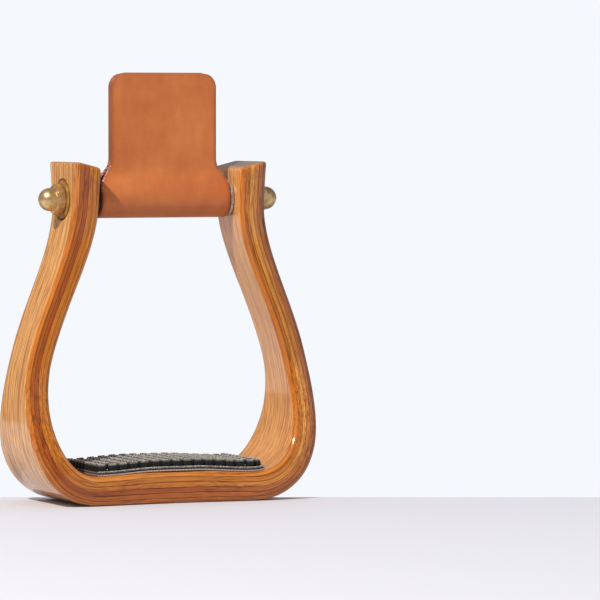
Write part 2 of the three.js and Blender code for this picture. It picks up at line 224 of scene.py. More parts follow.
def half_centreline():
    """The right half of the centreline, finely sampled from the tread's middle to the post top."""
    end = TREAD_THICKNESS / 2
    middle = end + TREAD_CROWN / 2
    curves = [
        ((0, middle), (CROWN_FLAT / 3, middle), (2 * CROWN_FLAT / 3, middle), (CROWN_FLAT, middle)),
        ((CROWN_FLAT, middle), (TREAD_FLAT / 2, middle), (TREAD_FLAT * 0.7, end), (TREAD_FLAT, end)),
        ((TREAD_FLAT, end), (TREAD_FLAT + TREAD_PULL, end), (BELLY[0], BELLY[1] - CORNER_PULL), BELLY),
        (BELLY, (BELLY[0], BELLY[1] + BELLY_PULL), (NECK[0], NECK[1] - NECK_PULL), NECK),
        (NECK, (NECK[0], lerp(NECK[1], POST_TOP, 0.33)), (NECK[0], lerp(NECK[1], POST_TOP, 0.67)),
         (NECK[0], POST_TOP)),
    ]
    points = [curves[0][0]]
    for curve in curves:
        points += [bezier(*curve, (k + 1) / CURVE_STEPS) for k in range(CURVE_STEPS)]
    return points


# Under the flat of the tread outward is straight down; here it turns to follow the bow.
OUTWARD_TURNS = (TREAD_FLAT - 6 * MM, TREAD_FLAT + 2 * MM)


def bow_stations():
    """Centre, outward direction, length so far, thickness and half depth, from the left post top
    to the right one."""
    half = evenly(half_centreline(), STATION_STEP)
    centres = [(-x, z) for x, z in reversed(half[1:])] + half
    stations = []
    length = 0.0
    for k, (x, z) in enumerate(centres):
        before = centres[max(0, k - 1)]
        after = centres[min(len(centres) - 1, k + 1)]
        along = Vector((after[0] - before[0], after[1] - before[1])).normalized()
        blend = smoothstep(abs(x), *OUTWARD_TURNS) if z < BELLY[1] / 2 else 1.0
        outward = Vector((along.y, -along.x)).lerp(Vector((0, -1)), 1 - blend).normalized()
        if k:
            length += math.dist(before, (x, z))
        stations.append({"x": x, "z": z, "out": outward, "s": length,
                         "t": bow_thickness(x, z), "d": bow_half_depth(x, z)})
    return stations


STATIONS = bow_stations()
SWEEP_MIDDLE = STATIONS[len(STATIONS) // 2]["s"]  # the tread's middle, as a length along the sweep


def bow_point(station, offset, y):
    """A point of a bow section, offset outwards from its centre."""
    return Vector((station["x"] + station["out"].x * offset, y, station["z"] + station["out"].y * offset))


def rounded_half_depth(station, offset):
    into = abs(offset) - (station["t"] / 2 - EDGE_RADIUS)
    if into <= 0:
        return station["d"]
    return station["d"] - EDGE_RADIUS + math.sqrt(max(0.0, EDGE_RADIUS ** 2 - into ** 2))


def post_top(offset, y, station):
    """Height of the sloping post top, its corners eased off."""
    fillet = 2.2 * MM
    edge = min(station["t"] / 2 - abs(offset), rounded_half_depth(station, offset) - abs(y))
    into = max(0.0, fillet - edge)
    ease = fillet - math.sqrt(max(0.0, fillet ** 2 - into ** 2))
    return POST_TOP + offset * POST_SLOPE - ease


def swept_point(station, offset, y):
    """A bow point; the straight part of the post is stretched to meet its sloping top."""
    point = bow_point(station, offset, y)
    if station["z"] > NECK[1]:
        share = (station["z"] - NECK[1]) / (POST_TOP - NECK[1])
        point.z = lerp(NECK[1], post_top(offset, y, station), share)
    return point


# Where a veneer's mesh lines lie: across it, closer together on the two faces that round off at
# the bow's edges, and across the bow's depth.
CORE_SHARES = (0, 0.5, 1)
FACE_SHARES = {0: (0, 0.3, 0.55, 0.75, 0.9, 1), PLY_COUNT - 1: (0, 0.1, 0.25, 0.45, 0.7, 1)}
DEPTH_SHARES = (1, 0.985, 0.95, 0.9, 0.7, 0.4, 0, -0.4, -0.7, -0.9, -0.95, -0.985, -1)


def ply_grid(ply, station):
    """Rows of (offset, y) points over one veneer's section at a station."""
    pitch = station["t"] / PLY_COUNT
    outer = station["t"] / 2 - ply * pitch - (GLUE_LINE / 2 if ply else 0)
    inner = station["t"] / 2 - (ply + 1) * pitch + (GLUE_LINE / 2 if ply < PLY_COUNT - 1 else 0)
    offsets = [lerp(inner, outer, share) for share in FACE_SHARES.get(ply, CORE_SHARES)]
    return [[(offset, rounded_half_depth(station, offset) * depth) for depth in DEPTH_SHARES]
            for offset in offsets]


def ply_bmesh(ply):
    """One veneer as a closed sweep along the bow, with gridded ends at the post tops."""
    bm = bmesh.new()
    grids = [ply_grid(ply, station) for station in STATIONS]
    rows, columns = len(grids[0]), len(DEPTH_SHARES)
    perimeter = [(0, j) for j in range(columns)]
    perimeter += [(i, columns - 1) for i in range(1, rows)]
    perimeter += [(rows - 1, j) for j in range(columns - 2, -1, -1)]
    perimeter += [(i, 0) for i in range(rows - 2, 0, -1)]
    rings = [[swept_point(station, *grid[i][j]) for i, j in perimeter]
             for station, grid in zip(STATIONS, grids)]
    rings = loft(bm, rings)
    for end in (0, -1):
        known = dict(zip(perimeter, rings[end]))
        for i in range(rows):
            for j in range(columns):
                if (i, j) not in known:
                    known[(i, j)] = bm.verts.new(swept_point(STATIONS[end], *grids[end][i][j]))
        for i in range(rows - 1):
            for j in range(columns - 1):
                bm.faces.new((known[(i, j)], known[(i + 1, j)], known[(i + 1, j + 1)], known[(i, j + 1)]))
    return bm


def ring_round_bolt(x, radius, reach=None):
    """A ring of points round the bolt axis; reach(radius, angle) may shape it."""
    ring = []
    for k in range(ROUND_SIDES):
        angle = 2 * math.pi * k / ROUND_SIDES
        far = reach(radius, angle) if reach else radius
        ring.append(Vector((x, far * math.cos(angle), BOLT_Z + far * math.sin(angle))))
    return ring


def rod_cutter(name, radius, low, high):
    """A rod along X round the bolt axis, used to cut and then thrown away."""
    bm = bmesh.new()
    rows = loft(bm, [ring_round_bolt(x, radius) for x in (low, high)])
    bm.faces.new(rows[0])
    bm.faces.new(rows[-1])
    bmesh.ops.recalc_face_normals(bm, faces=bm.faces)
    mesh = bpy.data.meshes.new(name)
    bm.to_mesh(mesh)
    bm.free()
    cutter = bpy.data.objects.new(name, mesh)
    bpy.context.scene.collection.objects.link(cutter)
    return cutter


def cut_away(piece, cutters):
    """Applies a boolean difference for each cutter."""
    for cutter in cutters:
        modifier = piece.modifiers.new("cut", "BOOLEAN")
        modifier.operation = "DIFFERENCE"
        modifier.solver = "EXACT"
        modifier.object = cutter
    graph = bpy.context.evaluated_depsgraph_get()
    mesh = bpy.data.meshes.new_from_object(piece.evaluated_get(graph))
    piece.modifiers.clear()
    piece.data = mesh


def store(piece, name, kind, field, values):
    """Writes one value per vertex as an attribute of the piece's mesh."""
    piece.data.attributes.new(name, kind, "POINT")
    piece.data.attributes[name].data.foreach_set(field, values)


SEARCH_SPAN = 30  # stations to each side of the last one found
SEARCH_LIMIT = 12 * MM  # a station further away than this can't be the nearest one
END_DEPTH = 0.2 * MM  # how far below a post top its end grain starts
END_FADE = (0.2 * MM, 1.0 * MM)  # end grain fades in over this distance from the top's rim


def nearest_station(spot, centres, last):
    """Index of the centre nearest to a point, looked for near the last one found first."""
    window = range(max(0, last - SEARCH_SPAN), min(len(centres), last + SEARCH_SPAN + 1))
    best = min(window, key=lambda k: (centres[k] - spot).length_squared)
    if best in (window[0], window[-1]) or (centres[best] - spot).length > SEARCH_LIMIT:
        best = min(range(len(centres)), key=lambda k: (centres[k] - spot).length_squared)
    return best


def end_share(station, offset, point):
    """How far a point lies inside a cut post top, from 0 at the rim to 1."""
    if station["z"] <= NECK[1] or point.z <= post_top(offset, point.y, station) - END_DEPTH:
        return 0.0
    inside = min(station["t"] / 2 - abs(offset), rounded_half_depth(station, offset) - abs(point.y))
    return smoothstep(inside, *END_FADE)


def add_grain(piece):
    """Stores each point's place in the bent board, along the sweep, across the plies and in depth,
    how far it is round onto the edge that shows the plies, and whether it is on a cut end."""
    centres = [Vector((station["x"], station["z"])) for station in STATIONS]
    places, edges, ends = [], [], []
    last = 0
    for vertex in piece.data.vertices:
        point = vertex.co
        spot = Vector((point.x, point.z))
        last = nearest_station(spot, centres, last)
        station = STATIONS[last]
        away = spot - centres[last]
        out = station["out"]
        along = away.x * -out.y + away.y * out.x
        offset = away.dot(out)
        into_edge = (abs(point.y) - (station["d"] - EDGE_RADIUS)) / EDGE_RADIUS
        places += [station["s"] + along, offset, point.y]
        edges.append(smoothstep(into_edge, 0.05, 0.5))
        ends.append(end_share(station, offset, point))
    store(piece, "grain", "FLOAT_VECTOR", "vector", places)
    store(piece, "edge", "FLOAT", "value", edges)
    store(piece, "end", "FLOAT", "value", ends)


# ---------------------------------------------------------------- node helpers

class Nodes:
    """Short ways to add shader nodes to one material or world."""

    def __init__(self, owner, shader):
        owner.use_nodes = True
        self.owner = owner
        self.tree = owner.node_tree
        self.shader = self.tree.nodes[shader]

    def add(self, kind, **settings):
        node = self.tree.nodes.new(kind)
        for key, value in settings.items():
            setattr(node, key, value)
        return node

    def link(self, source, target):
        if isinstance(source, (int, float, tuple)):
            target.default_value = source
        else:
            self.tree.links.new(source, target)

    def set(self, **values):
        for key, value in values.items():
            self.shader.inputs[key.replace("_", " ")].default_value = value

    def attribute(self, name):
        return self.add("ShaderNodeAttribute", attribute_name=name)

    def scaled(self, vector, scale):
        node = self.add("ShaderNodeVectorMath", operation="MULTIPLY")
        self.link(vector, node.inputs[0])
        node.inputs[1].default_value = scale
        return node.outputs[0]

    def shifted(self, vector, shift):
        node = self.add("ShaderNodeVectorMath", operation="ADD")
        self.link(vector, node.inputs[0])
        self.link(shift, node.inputs[1])
        return node.outputs[0]

    def centred_vector(self, value):
        """A number as a vector of three equal numbers, about zero."""
        node = self.add("ShaderNodeCombineXYZ")
        centred = self.math("SUBTRACT", value, 0.5)
        for socket in node.inputs:
            self.link(centred, socket)
        return node.outputs[0]

    def split(self, vector):
        node = self.add("ShaderNodeSeparateXYZ")
        self.link(vector, node.inputs[0])
        return node.outputs

    def noise(self, vector, scale=1.0, detail=4.0, roughness=0.55):
        node = self.add("ShaderNodeTexNoise")
        self.link(vector, node.inputs["Vector"])
        node.inputs["Scale"].default_value = scale
        node.inputs["Detail"].default_value = detail
        node.inputs["Roughness"].default_value = roughness
        return node.outputs["Fac"]

    def cells(self, vector, scale):
        node = self.add("ShaderNodeTexVoronoi")
        self.link(vector, node.inputs["Vector"])
        node.inputs["Scale"].default_value = scale
        return node.outputs["Distance"]

    def ramp(self, value, stops):
        node = self.add("ShaderNodeValToRGB")
        self.link(value, node.inputs["Fac"])
        elements = node.color_ramp.elements
        while len(elements) < len(stops):
            elements.new(0.5)
        for element, (place, colour) in zip(elements, stops):
            element.position = place
            element.color = (*colour, 1) if isinstance(colour, tuple) else (colour, colour, colour, 1)
        return node.outputs["Color"]

    def map_range(self, value, source, target=(0.0, 1.0), kind="LINEAR"):
        node = self.add("ShaderNodeMapRange", interpolation_type=kind)
        self.link(value, node.inputs["Value"])
        for name, number in zip(("From Min", "From Max", "To Min", "To Max"), source + target):
            node.inputs[name].default_value = number
        return node.outputs["Result"]

    def math(self, operation, a, b):
        node = self.add("ShaderNodeMath", operation=operation)
        self.link(a, node.inputs[0])
        self.link(b, node.inputs[1])
        return node.outputs[0]

    def weighted(self, *terms):
        """The sum of (value, weight) terms."""
        total = None
        for value, weight in terms:
            term = self.math("MULTIPLY", value, weight)
            total = term if total is None else self.math("ADD", total, term)
        return total

    def mix_numbers(self, factor, a, b):
        node = self.add("ShaderNodeMix")
        self.link(factor, node.inputs[0])
        self.link(a, node.inputs[2])
        self.link(b, node.inputs[3])
        return node.outputs[0]

    def mix(self, factor, a, b):
        node = self.add("ShaderNodeMix", data_type="RGBA")
        self.link(factor, node.inputs[0])
        self.link((*a, 1) if isinstance(a, tuple) else a, node.inputs[6])
        self.link((*b, 1) if isinstance(b, tuple) else b, node.inputs[7])
        return node.outputs[2]

    def bump(self, height, strength, distance):
        node = self.add("ShaderNodeBump")
        node.inputs["Strength"].default_value = strength
        node.inputs["Distance"].default_value = distance
        self.link(height, node.inputs["Height"])
        return node.outputs["Normal"]

    def out(self, name, value):
        self.link(value, self.shader.inputs[name])


def material_nodes(name):
    return Nodes(bpy.data.materials.new(name), "Principled BSDF")


def grey(value):
    return value, value, value


def srgb(red, green, blue):
    """A colour given as 0 to 255 in sRGB, as linear values."""
    def linear(value):
        value /= 255
        return value / 12.92 if value <= 0.04045 else ((value + 0.055) / 1.055) ** 2.4
    return tuple(linear(value) for value in (red, green, blue))


# ---------------------------------------------------------------- materials

# Noise scales of the wood along the sweep, across the plies and in depth, per metre.
WOOD_SWAY = (9, 20, 20)
WOOD_GROWTH = (5, 950, 800)
WOOD_LINES = (9, 1500, 1500)
WOOD_FIBRES = (60, 4200, 2400)
WOOD_PATCHES = (18, 100, 40)
WOOD_PORES = (85, 2600, 1700)
WOOD_STOPS = (0.41, 0.475, 0.55)  # tones of the dark, the middle and the light colour
SWAY_REACH = (0, 0.0012, 0.009)  # how far the grain wanders, in metres
PLY_SHIFT = (0.37, 0.11, 0.23)  # moves the pattern from one ply to the next
FAR_SIDE_BLEND = 110 * MM  # the left side's colours turn into the right's from the middle to here
PORE_SHADE = 0.8


def wood_material(name, face, side, far_side, ply):
    """Varnished veneer: growth lines and pores that run along the sweep. Each of face, side and
    far_side is a dark, a middle and a light colour: for the broad face, for the edge of the
    veneer on the left, and for its edge on the right."""
    n = material_nodes(name)
    grain = n.attribute("grain").outputs["Vector"]
    place = n.shifted(grain, tuple(ply * shift for shift in PLY_SHIFT))
    sway = n.noise(n.scaled(place, WOOD_SWAY), detail=2)
    swayed = n.shifted(place, n.scaled(n.centred_vector(sway), SWAY_REACH))
    growth = n.noise(n.scaled(swayed, WOOD_GROWTH), detail=2, roughness=0.5)
    lines = n.noise(n.scaled(swayed, WOOD_LINES), detail=2)
    fibres = n.noise(n.scaled(swayed, WOOD_FIBRES), detail=2, roughness=0.7)
    patches = n.noise(n.scaled(place, WOOD_PATCHES), detail=2)
    pores = n.noise(n.scaled(swayed, WOOD_PORES), detail=1, roughness=0.4)
    tone = n.weighted((growth, 0.42), (lines, 0.34), (fibres, 0.14), (patches, 0.1))

    def toned(colours):
        return n.ramp(tone, list(zip(WOOD_STOPS, colours)))

    blend = (SWEEP_MIDDLE, SWEEP_MIDDLE + FAR_SIDE_BLEND)
    right = n.map_range(n.split(grain)[0], blend, kind="SMOOTHSTEP")
    sides = n.mix(right, toned(side), toned(far_side))
    colour = n.mix(n.attribute("edge").outputs["Fac"], toned(face), sides)
    pore_mask = n.ramp(pores, [(0.38, 1.0), (0.49, 0.0)])
    colour = n.mix(n.math("MULTIPLY", pore_mask, 0.5), colour, tuple(PORE_SHADE * c for c in face[0]))
    specks = n.noise(grain, scale=1400, detail=2)
    end_grain = n.ramp(specks, [(0.35, srgb(104, 76, 58)), (0.6, srgb(176, 146, 122))])
    end = n.attribute("end").outputs["Fac"]
    n.out("Base Color", n.mix(n.math("MULTIPLY", end, 0.7), colour, end_grain))
    n.out("Roughness", n.ramp(fibres, [(0.3, 0.36), (0.7, 0.5)]))
    n.out("Normal", n.bump(n.math("SUBTRACT", fibres, pore_mask), 0.16, 0.1 * MM))
    n.set(Coat_Weight=1.0, Coat_Roughness=0.05, Coat_IOR=1.4, Specular_IOR_Level=0.12)
    return n.owner


def leather_material():
    """Vegetable-tanned leather: fine grain, uneven tan, burnished dark edges and a rough flesh side."""
    n = material_nodes("leather_tan")
    place = n.add("ShaderNodeTexCoord").outputs["Object"]
    edge = n.attribute("edge").outputs["Fac"]
    flesh = n.attribute("flesh").outputs["Fac"]
    broad = n.noise(n.scaled(place, (28, 28, 45)), detail=3)
    clouds = n.noise(n.scaled(place, (110, 110, 90)), detail=3, roughness=0.5)
    creases = n.noise(n.scaled(place, (240, 60, 90)), detail=3)
    tone = n.weighted((broad, 0.5), (clouds, 0.25), (creases, 0.25))
    tan = n.ramp(tone, [(0.3, srgb(175, 89, 38)), (0.5, srgb(188, 102, 46)), (0.7, srgb(203, 118, 58))])
    nap = n.noise(place, scale=900, detail=3)
    colour = n.mix(flesh, tan, n.ramp(nap, [(0.44, srgb(96, 46, 36)), (0.6, srgb(236, 178, 156))]))
    n.out("Base Color", n.mix(n.math("MULTIPLY", edge, 0.7), colour, srgb(104, 50, 32)))
    height = n.weighted((n.cells(place, 1500), 0.6), (clouds, 0.8))
    fluff = n.math("MULTIPLY", flesh, n.noise(place, scale=1400, detail=3))
    n.out("Normal", n.bump(n.math("ADD", height, fluff), 0.22, 0.12 * MM))
    n.out("Roughness", n.mix(edge, grey(0.48), grey(0.34)))
    n.set(Specular_IOR_Level=0.45, Sheen_Weight=0.08)
    return n.owner


def metal_material(name, tint, dull, roughness, scratch, metallic):
    """Metal with light wear: a slightly uneven tint, and fine scratches in its roughness. A film
    of lacquer or oxide makes it less than fully metallic."""
    n = material_nodes(name)
    place = n.add("ShaderNodeTexCoord").outputs["Object"]
    stains = n.noise(place, scale=260, roughness=0.65)
    marks = n.noise(n.scaled(place, (400, 2600, 2600)), detail=3)
    n.out("Base Color", n.ramp(stains, [(0.35, dull), (0.6, tint)]))
    n.out("Roughness", n.ramp(marks, [(0.3, roughness), (0.75, roughness + scratch)]))
    n.out("Normal", n.bump(marks, 0.06, 0.05 * MM))
    n.set(Metallic=metallic)
    return n.owner


def rubber_material():
    """Black rubber, greyed by wear where the studs stand proudest, and by a painted highlight along the
    upper edge of the pad's base.
    """
    n = material_nodes("rubber_black")
    place = n.add("ShaderNodeTexCoord").outputs["Object"]
    dust = n.noise(place, scale=1100, roughness=0.7)
    wear_and_highlight = n.attribute("wear_and_highlight").outputs["Fac"]
    # Real wear on the studs and the painted highlight on the base's edge, both broken up by the dust
    # noise, turn the rubber grey.
    greyed = n.math("MULTIPLY", wear_and_highlight, n.ramp(dust, [(0.38, 0.2), (0.6, 1.0)]))
    n.out("Base Color", n.mix(greyed, srgb(24, 26, 25), srgb(212, 204, 196)))
    n.out("Roughness", n.mix(greyed, grey(0.5), grey(0.85)))
    n.out("Normal", n.bump(dust, 0.35, 0.15 * MM))
    n.set(Specular_IOR_Level=0.1)
    return n.owner


def canvas_material():
    """Plain-woven backing cloth, a pinkish grey."""
    n = material_nodes("canvas_backing")
    place = n.add("ShaderNodeTexCoord").outputs["Object"]
    threads = []
    for direction in ("X", "Y"):
        wave = n.add("ShaderNodeTexWave", bands_direction=direction)
        n.link(place, wave.inputs["Vector"])
        wave.inputs["Scale"].default_value = 380
        threads.append(wave.outputs["Fac"])
    weave = n.math("MULTIPLY", *threads)
    n.out("Base Color", n.ramp(weave, [(0.1, srgb(120, 92, 84)), (0.7, srgb(206, 176, 162))]))
    n.out("Normal", n.bump(weave, 0.4, 0.1 * MM))
    n.set(Roughness=0.9)
    return n.owner


# ---------------------------------------------------------------- bow

def shades(red, green, blue, spread=0.2):
    """A dark, a middle and a light colour round one sRGB colour; the dark one is redder."""
    dark = srgb(red * (1 - 0.85 * spread), green * (1 - 1.35 * spread), blue * (1 - 2 * spread))
    light = srgb(min(255, red * (1 + 0.5 * spread)), green * (1 + 0.7 * spread), blue * (1 + spread))
    return dark, srgb(red, green, blue), light


OUTER_FACE = shades(200, 138, 71, 0.29)
INNER_FACE = shades(205, 139, 74)
CORE_FACE = shades(178, 118, 60)
# The plies' edges, outermost first, on the left leg and tread, and on the right leg.
LEFT_SIDES = [shades(178, 99, 34), shades(158, 79, 20), shades(144, 66, 22, 0.3),
              shades(180, 102, 28), shades(180, 103, 28), shades(188, 114, 44)]
RIGHT_SIDES = [shades(140, 82, 54, 0.3), shades(154, 92, 52), shades(184, 114, 52),
               shades(204, 134, 58), shades(174, 98, 26, 0.3), shades(180, 98, 18)]
CUT_REACH = 100 * MM  # past both sides of the bow


def build_bow():
    bolt_hole = rod_cutter("bolt_hole", HOLE_RADIUS, -CUT_REACH, CUT_REACH)
    spot_faces = [rod_cutter("spot_face_right", SPOT_FACE_RADIUS, SPOT_FACE, CUT_REACH),
                  rod_cutter("spot_face_left", SPOT_FACE_RADIUS, -CUT_REACH, -SPOT_FACE)]
    for ply, (left, right) in enumerate(zip(LEFT_SIDES, RIGHT_SIDES)):
        face = {0: OUTER_FACE, PLY_COUNT - 1: INNER_FACE}.get(ply, CORE_FACE)
        piece = new_piece(f"veneer_{ply + 1}", ply_bmesh(ply), "bow")
        cut_away(piece, [bolt_hole] + (spot_faces if ply == 0 else []))
        piece.data.set_sharp_from_angle(angle=math.radians(SHARP_ANGLE))
        add_grain(piece)
        piece.data.materials.clear()
        stand_in(piece, f"bow_ply_{ply + 1}", wood_material(f"wood_{ply + 1}", face, left, right, ply + 1))
    for cutter in [bolt_hole] + spot_faces:
        bpy.data.objects.remove(cutter)


def stand_in(piece, node, material):
    """Gives a piece its material and puts it in the place of a CAD node."""
    piece.data.materials.append(material)
    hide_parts(node)


# ---------------------------------------------------------------- turned hardware

WASHER_EASE = 0.2 * MM
WASHER_SHARP_ANGLE = 30
NUT_SHARP_ANGLE = 28
NUT_BORE_POINT = 1 * MM  # the drill's point, past the bore's full depth


def washer(name, node, side, sizes, material):
    """A flat washer with eased edges, on the left (side -1) or the right (side 1)."""
    near, far, outer = sizes
    low, high = sorted((side * near, side * far))
    ease = WASHER_EASE
    inner = HOLE_RADIUS
    profile = [(low, inner + ease), (low, outer - ease), (low + ease, outer), (high - ease, outer),
               (high, outer - ease), (high, inner + ease), (high - ease, inner), (low + ease, inner)]
    bm = bmesh.new()
    loft(bm, [ring_round_bolt(x, radius) for x, radius in profile], closed=True)
    stand_in(new_piece(name, bm, "bow", WASHER_SHARP_ANGLE), node, material)


def nut_profile():
    """The cap nut's outside as (x, radius) points from its foot: a chamfered hexagon, a small
    step, and a domed top. within_hexagon adds the flats."""
    corner = NUT_ACROSS_FLATS / 2 / math.cos(math.pi / 6)
    foot_height, foot_chamfer = 0.45 * MM, 0.9 * MM
    shoulder_height, shoulder_chamfer = 0.6 * MM, 1.1 * MM
    step_height, step_width = 0.12 * MM, 0.25 * MM
    chamfer_steps, dome_steps = 5, 24
    profile = [(0, corner - foot_chamfer)]
    for k in range(1, chamfer_steps + 1):
        share = k / chamfer_steps
        profile.append((foot_height * share, corner - foot_chamfer * (1 - share) ** 1.5))
    for k in range(chamfer_steps + 1):
        share = k / chamfer_steps
        profile.append((NUT_HEX_HEIGHT - shoulder_height * (1 - share),
                        corner - shoulder_chamfer * share ** 1.6))
    profile.append((NUT_HEX_HEIGHT, NUT_DOME_RADIUS + step_width))
    profile.append((NUT_HEX_HEIGHT + step_height, NUT_DOME_RADIUS))
    start = NUT_HEX_HEIGHT + NUT_DOME_NECK
    for k in range(dome_steps):
        angle = math.pi / 2 * k / dome_steps
        profile.append((start + NUT_DOME_RADIUS * math.sin(angle), NUT_DOME_RADIUS * math.cos(angle)))
    return profile


def within_hexagon(radius, angle):
    """A radius round the nut's axis, cut short at the hexagon's flats."""
    toward_flat = (angle + math.pi / 6) % (math.pi / 3) - math.pi / 6
    return min(radius, NUT_ACROSS_FLATS / 2 / math.cos(toward_flat))


def cap_nut(name, node, side, material):
    """A cap nut with a blind bore, on the left (side -1) or the right (side 1)."""
    bm = bmesh.new()
    outside = loft(bm, [ring_round_bolt(side * (NUT_START + x), radius, within_hexagon)
                        for x, radius in nut_profile()])
    tip = NUT_START + NUT_HEX_HEIGHT + NUT_DOME_NECK + NUT_DOME_RADIUS
    fan(bm, outside[-1], Vector((side * tip, 0, BOLT_Z)))
    bore = loft(bm, [ring_round_bolt(side * (NUT_START + depth), HOLE_RADIUS)
                     for depth in (0, NUT_BORE_DEPTH)])
    for k in range(ROUND_SIDES):
        following = (k + 1) % ROUND_SIDES
        bm.faces.new((outside[0][k], outside[0][following], bore[0][following], bore[0][k]))
    fan(bm, bore[1], Vector((side * (NUT_START + NUT_BORE_DEPTH + NUT_BORE_POINT), 0, BOLT_Z)))
    stand_in(new_piece(name, bm, "bow", NUT_SHARP_ANGLE), node, material)


def build_hardware():
    """Washers and nuts. The left inner washer and the tube beside it get a dark steel as painted shade,
    where the left post's shadow falls on them.
    """
    brass = metal_material("brass_polished", srgb(228, 196, 146), srgb(194, 154, 96), 0.28, 0.14, 0.85)
    dull_brass = metal_material("brass_dull", srgb(190, 142, 74), srgb(156, 112, 54), 0.42, 0.15, 0.55)
    steel = metal_material("steel_plated", srgb(210, 208, 208), srgb(168, 162, 160), 0.28, 0.2, 0.75)
    # Painted shade: a dark brownish steel for the parts that lie in the left post's shadow; they are the
    # same plated steel as on the right.
    shade_dark_steel = metal_material("steel_painted_shade", srgb(112, 82, 70), srgb(76, 50, 42), 0.5, 0.2, 0.6)
    for side, suffix, inner_steel in ((-1, "left", shade_dark_steel), (1, "right", steel)):
        washer(f"steel_washer_{suffix}", f"inner_washer_{suffix}", side, INNER_WASHER, inner_steel)
        washer(f"brass_washer_{suffix}", f"outer_washer_{suffix}", side, OUTER_WASHER, dull_brass)
        cap_nut(f"acorn_nut_{suffix}", f"cap_nut_{suffix}", side, brass)
    # The roller tube gets the painted-shade steel too.
    kept_nodes = {"through_bolt": steel, "roller_sleeve": shade_dark_steel}
    kept_nodes.update({f"tread_nail_{k}": steel for k in range(1, NAIL_COUNT + 1)})
    for node, material in kept_nodes.items():
        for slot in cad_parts[node].material_slots:
            slot.material = material


# ---------------------------------------------------------------- leather wrap

def strap_path():
    """The strap's middle layer seen along X, as (y, z) points from the bolt axis: from the front
    flap's top down, round the tube and up to the back flap's top."""
    half = (LEATHER_THICKNESS + CLEARANCE) / 2
    radius = SLEEVE_RADIUS + CLEARANCE + LEATHER_THICKNESS / 2
    leave = math.radians(20)
    round_steps, neck_steps, flap_steps = 90, 40, 60
    away = (radius * math.cos(leave), radius * math.sin(leave))
    pull = (MEETING_HEIGHT - away[1]) / 2
    right = []
    for k in range(round_steps):
        angle = lerp(-math.pi / 2, leave, k / round_steps)
        right.append((radius * math.cos(angle), radius * math.sin(angle)))
    tangent = (-math.sin(leave), math.cos(leave))
    controls = (away, (away[0] + tangent[0] * pull, away[1] + tangent[1] * pull),
                (half, MEETING_HEIGHT - pull), (half, MEETING_HEIGHT))
    right += [bezier(*controls, k / neck_steps) for k in range(neck_steps)]
    right += [(half, lerp(MEETING_HEIGHT, FLAP_TOP, k / flap_steps)) for k in range(flap_steps + 1)]
    whole = [(-y, z) for y, z in reversed(right[1:])] + right
    whole = [(y - FLAP_FORWARD * smoothstep(z, 0, MEETING_HEIGHT), z) for y, z in whole]
    return evenly(whole, STRAP_STEP)


def strap_half_width(height):
    """Half of the strap's width at a height above the bolt axis."""
    roll, flap = WRAP_WIDTH / 2, FLAP_WIDTH / 2
    if height <= SHOULDER_LOW:
        return roll
    if height >= SHOULDER_HIGH:
        into = height - (FLAP_TOP - FLAP_CORNER_RADIUS)
        if into <= 0:
            return flap
        return flap - FLAP_CORNER_RADIUS + math.sqrt(max(0.0, FLAP_CORNER_RADIUS ** 2 - into ** 2))
    middle = (SHOULDER_LOW + SHOULDER_HIGH) / 2
    low, high = 0.0, 1.0
    for _ in range(HALVINGS):
        t = (low + high) / 2
        point = bezier((roll, SHOULDER_LOW), (roll, middle), (flap, middle), (flap, SHOULDER_HIGH), t)
        low, high = (t, high) if point[1] < height else (low, t)
    return point[0]


STRAP_EDGE_ROUND = 0.75 * MM
STRAP_EDGE_POWER = 0.8  # below 1 the edge is fuller than an ellipse
STRAP_ACROSS = 36
STRAP_RIM = 8
STRAP_SHARP_ANGLE = 60
END_ROUND = 1.2 * MM
END_SHRINK = 0.9
EDGE_FADE = 1.1 * MM  # how far burnishing reaches in from a long edge
END_FADE_IN = 1.6 * MM  # and from the end of a flap
FACE_BURNISH = 0.5
END_BURNISH = 0.6
RIM_BURNISH = 0.9
FRAYED_BURNISH = 0.3
FRAYED_FLESH = 0.85


def strap_section(half_width, frayed):
    """One cross-section of the strap as (across, out of the skin) points, and each point's marks:
    how much it is burnished edge and how much it shows the flesh side."""
    flat = half_width - STRAP_EDGE_ROUND
    thick = LEATHER_THICKNESS / 2
    outline, marks = [], []
    for skin in (1, -1):
        for j in range(STRAP_ACROSS + 1):
            v = lerp(-1, 1, j / STRAP_ACROSS) * skin * flat
            near_edge = max(0.0, (abs(v) - flat + EDGE_FADE) / EDGE_FADE)
            outline.append((v, skin * thick))
            marks.append((FACE_BURNISH * near_edge, 1.0 if skin < 0 else 0.0))
        for j in range(1, STRAP_RIM):
            angle = math.pi * j / STRAP_RIM
            v = skin * (flat + STRAP_EDGE_ROUND * math.sin(angle))
            fullness = abs(math.cos(angle)) ** STRAP_EDGE_POWER
            outline.append((v, skin * thick * math.copysign(fullness, math.cos(angle))))
            marks.append((lerp(RIM_BURNISH, FRAYED_BURNISH, frayed), FRAYED_FLESH * frayed))
    return outline, marks


def frayed_at(height):
    """How much the cut edge shows loose fibres: only round the shoulders."""
    rises = smoothstep(height, SHOULDER_LOW - 2 * MM, SHOULDER_LOW + 2 * MM)
    return rises * (1 - smoothstep(height, SHOULDER_HIGH - 6 * MM, SHOULDER_HIGH))


